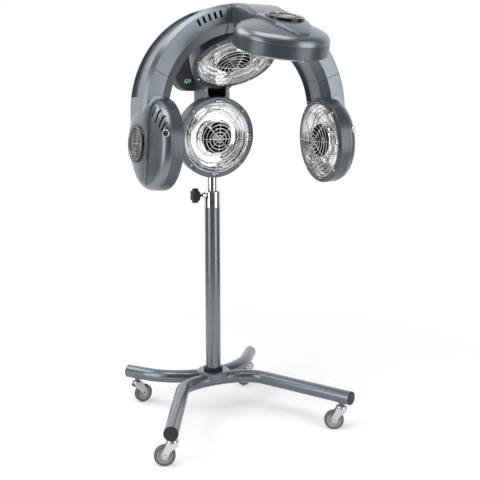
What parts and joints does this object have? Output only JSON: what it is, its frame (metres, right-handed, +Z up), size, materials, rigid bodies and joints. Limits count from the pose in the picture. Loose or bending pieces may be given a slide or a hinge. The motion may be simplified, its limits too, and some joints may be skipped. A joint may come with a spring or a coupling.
{
  "type": "hair color processor",
  "caption": "Floor-standing hair color processor: fan-cooled infrared heads on hinged arms round the client's head, on a height-adjustable column with a caster base.",
  "frame": {"origin": "on the floor under the column's axis", "axes": "+Z up, -Y the front where the client sits, +X to the right seen from the front"},
  "size_m": [0.687, 0.7692, 1.288],
  "materials": {
    "base_hub": "gloss paint",
    "legs": "gloss paint",
    "column": "gloss paint",
    "rear_yoke": "satin paint",
    "leg_caps": "moulded",
    "foot_ring": "moulded",
    "collar": "polished",
    "lift_tube": "polished",
    "clamp_knob": "moulded",
    "caster_fork_fl": "bright zinc",
    "caster_wheel_fl": "grey rubber",
    "caster_fork_fr": "bright zinc",
    "caster_wheel_fr": "grey rubber",
    "caster_fork_rl": "bright zinc",
    "caster_wheel_rl": "grey rubber",
    "caster_fork_rr": "bright zinc",
    "caster_wheel_rr": "grey rubber",
    "rear_shell": "satin metallic paint",
    "rear_rim": "satin metallic paint",
    "rear_reflector": "mirror polished",
    "rear_guard": "bright wire",
    "rear_duct": "moulded",
    "rear_fan": "moulded",
    "crown_shell": "satin metallic paint",
    "crown_rim": "satin metallic paint",
    "crown_reflector": "mirror polished",
    "crown_guard": "bright wire",
    "crown_duct": "moulded",
    "crown_fan": "moulded",
    "left_shell": "satin metallic paint",
    "left_rim": "satin metallic paint",
    "left_reflector": "mirror polished",
    "left_guard": "bright wire",
    "left_duct": "moulded",
    "left_fan": "moulded",
    "right_shell": "satin metallic paint",
    "right_rim": "satin metallic paint",
    "right_reflector": "mirror polished",
    "right_guard": "bright wire",
    "right_duct": "moulded",
    "right_fan": "moulded",
    "front_shell": "satin metallic paint",
    "front_rim": "satin metallic paint",
    "front_reflector": "mirror polished",
    "front_guard": "bright wire",
    "front_duct": "moulded",
    "front_fan": "moulded",
    "crown_hub": "satin metallic paint",
    "crown_spine": "satin metallic paint",
    "left_arm": "satin metallic paint",
    "right_arm": "satin metallic paint",
    "front_arm": "satin metallic paint",
    "tilt_knuckle": "gloss",
    "hinge_pins": "turned",
    "control_housing": "moulded",
    "display": "clear window",
    "set_button": "moulded",
    "power_switch": "gloss",
    "left_button": "polished",
    "right_button": "polished"
  },
  "bodies": {
    "stand": {"base_hub": "base_hub", "legs": "legs", "leg_caps": "leg_caps", "column": "column", "foot_ring": "foot_ring", "collar": "collar"},
    "clamp_knob": {"clamp_knob": "clamp_knob"},
    "lift": {"lift_tube": "lift_tube"},
    "rear_head": {"rear_shell": "rear_shell", "rear_rim": "rear_rim", "rear_reflector": "rear_reflector", "rear_guard": "rear_guard", "rear_duct": "rear_duct", "rear_yoke": "rear_yoke"},
    "crown": {"crown_hub": "crown_hub", "crown_spine": "crown_spine", "tilt_knuckle": "tilt_knuckle", "hinge_pins": "hinge_pins", "control_housing": "control_housing", "display": "display", "crown_shell": "crown_shell", "crown_rim": "crown_rim", "crown_reflector": "crown_reflector", "crown_guard": "crown_guard", "crown_duct": "crown_duct"},
    "set_button": {"set_button": "set_button"},
    "power_switch": {"power_switch": "power_switch"},
    "left_arm": {"left_arm": "left_arm", "left_shell": "left_shell", "left_rim": "left_rim", "left_reflector": "left_reflector", "left_guard": "left_guard", "left_duct": "left_duct"},
    "right_arm": {"right_arm": "right_arm", "right_shell": "right_shell", "right_rim": "right_rim", "right_reflector": "right_reflector", "right_guard": "right_guard", "right_duct": "right_duct"},
    "front_arm": {"front_arm": "front_arm", "front_shell": "front_shell", "front_rim": "front_rim", "front_reflector": "front_reflector", "front_guard": "front_guard", "front_duct": "front_duct"},
    "rear_fan": {"rear_fan": "rear_fan"},
    "crown_fan": {"crown_fan": "crown_fan"},
    "left_fan": {"left_fan": "left_fan"},
    "right_fan": {"right_fan": "right_fan"},
    "front_fan": {"front_fan": "front_fan"},
    "left_button": {"left_button": "left_button"},
    "right_button": {"right_button": "right_button"},
    "fork_fl": {"caster_fork_fl": "caster_fork_fl"},
    "wheel_fl": {"caster_wheel_fl": "caster_wheel_fl"},
    "fork_fr": {"caster_fork_fr": "caster_fork_fr"},
    "wheel_fr": {"caster_wheel_fr": "caster_wheel_fr"},
    "fork_rl": {"caster_fork_rl": "caster_fork_rl"},
    "wheel_rl": {"caster_wheel_rl": "caster_wheel_rl"},
    "fork_rr": {"caster_fork_rr": "caster_fork_rr"},
    "wheel_rr": {"caster_wheel_rr": "caster_wheel_rr"}
  },
  "joints": [
    {"name": "swivel_fl", "type": "hinge", "parent": "stand", "child": "fork_fl", "pos_m": [-0.28503, -0.34123, 0.072], "axis": [0, 0, 1], "continuous": true},
    {"name": "roll_fl", "type": "hinge", "parent": "fork_fl", "child": "wheel_fl", "pos_m": [-0.30543, -0.33299, 0.031], "axis": [-0.3746, -0.9272, 0], "continuous": true},
    {"name": "swivel_fr", "type": "hinge", "parent": "stand", "child": "fork_fr", "pos_m": [0.28503, -0.34123, 0.072], "axis": [0, 0, 1], "continuous": true},
    {"name": "roll_fr", "type": "hinge", "parent": "fork_fr", "child": "wheel_fr", "pos_m": [0.26598, -0.33023, 0.031], "axis": [-0.5, -0.866, 0], "continuous": true},
    {"name": "swivel_rl", "type": "hinge", "parent": "stand", "child": "fork_rl", "pos_m": [-0.21294, 0.15812, 0.072], "axis": [0, 0, 1], "continuous": true},
    {"name": "roll_rl", "type": "hinge", "parent": "fork_rl", "child": "wheel_rl", "pos_m": [-0.19128, 0.16194, 0.031], "axis": [-0.1736, 0.9848, 0], "continuous": true},
    {"name": "swivel_rr", "type": "hinge", "parent": "stand", "child": "fork_rr", "pos_m": [0.21294, 0.15812, 0.072], "axis": [0, 0, 1], "continuous": true},
    {"name": "roll_rr", "type": "hinge", "parent": "fork_rr", "child": "wheel_rr", "pos_m": [0.19227, 0.15059, 0.031], "axis": [0.342, -0.9397, 0], "continuous": true},
    {"name": "clamp_turn", "type": "hinge", "parent": "stand", "child": "clamp_knob", "pos_m": [-0.04, 0, 0.722], "axis": [-1, 0, 0], "range_deg": [-180, 180]},
    {"name": "lift", "type": "slide", "parent": "stand", "child": "lift", "axis": [0, 0, 1], "range_m": [-0.03, 0.3]},
    {"name": "swivel", "type": "hinge", "parent": "lift", "child": "rear_head", "pos_m": [0, 0, 0.78], "axis": [0, 0, 1], "range_deg": [-90, 90]},
    {"name": "crown_tilt", "type": "hinge", "parent": "rear_head", "child": "crown", "pos_m": [0, 0, 1.068], "axis": [1, 0, 0], "range_deg": [-8, 10]},
    {"name": "left_arm_lift", "type": "hinge", "parent": "crown", "child": "left_arm", "pos_m": [-0.072, -0.214, 1.262], "axis": [0, 1, 0], "range_deg": [0, 12]},
    {"name": "right_arm_lift", "type": "hinge", "parent": "crown", "child": "right_arm", "pos_m": [0.072, -0.214, 1.262], "axis": [0, -1, 0], "range_deg": [0, 12]},
    {"name": "front_arm_lift", "type": "hinge", "parent": "crown", "child": "front_arm", "pos_m": [0, -0.28, 1.262], "axis": [-1, 0, 0], "range_deg": [0, 12]},
    {"name": "rear_fan_spin", "type": "hinge", "parent": "rear_head", "child": "rear_fan", "pos_m": [0, -0.01425, 0.90862], "axis": [0, 0.9903, 0.1392], "continuous": true},
    {"name": "crown_fan_spin", "type": "hinge", "parent": "crown", "child": "crown_fan", "pos_m": [0, -0.14784, 1.1518], "axis": [0, 0.5446, 0.8387], "continuous": true},
    {"name": "left_fan_spin", "type": "hinge", "parent": "left_arm", "child": "left_fan", "pos_m": [-0.27793, -0.23913, 0.90159], "axis": [-0.9972, -0.0435, 0.061], "continuous": true},
    {"name": "right_fan_spin", "type": "hinge", "parent": "right_arm", "child": "right_fan", "pos_m": [0.27793, -0.23913, 0.90159], "axis": [0.9972, -0.0435, 0.061], "continuous": true},
    {"name": "front_fan_spin", "type": "hinge", "parent": "front_arm", "child": "front_fan", "pos_m": [0, -0.44417, 1.17799], "axis": [0, -0.2756, 0.9613], "continuous": true},
    {"name": "set_press", "type": "slide", "parent": "crown", "child": "set_button", "axis": [0, 1, 0], "range_m": [0, 0.0015], "stiffness_N_per_m": 600, "springref_m": -0.001},
    {"name": "power_rock", "type": "hinge", "parent": "crown", "child": "power_switch", "pos_m": [0.055, 0.084, 1.085], "axis": [1, 0, 0], "range_deg": [-16, 0]},
    {"name": "left_press", "type": "slide", "parent": "left_arm", "child": "left_button", "axis": [0.6213, 0.7826, -0.0401], "range_m": [0, 0.002], "stiffness_N_per_m": 600, "springref_m": -0.001},
    {"name": "right_press", "type": "slide", "parent": "right_arm", "child": "right_button", "axis": [-0.6213, 0.7826, -0.0401], "range_m": [0, 0.002], "stiffness_N_per_m": 600, "springref_m": -0.001}
  ]
}
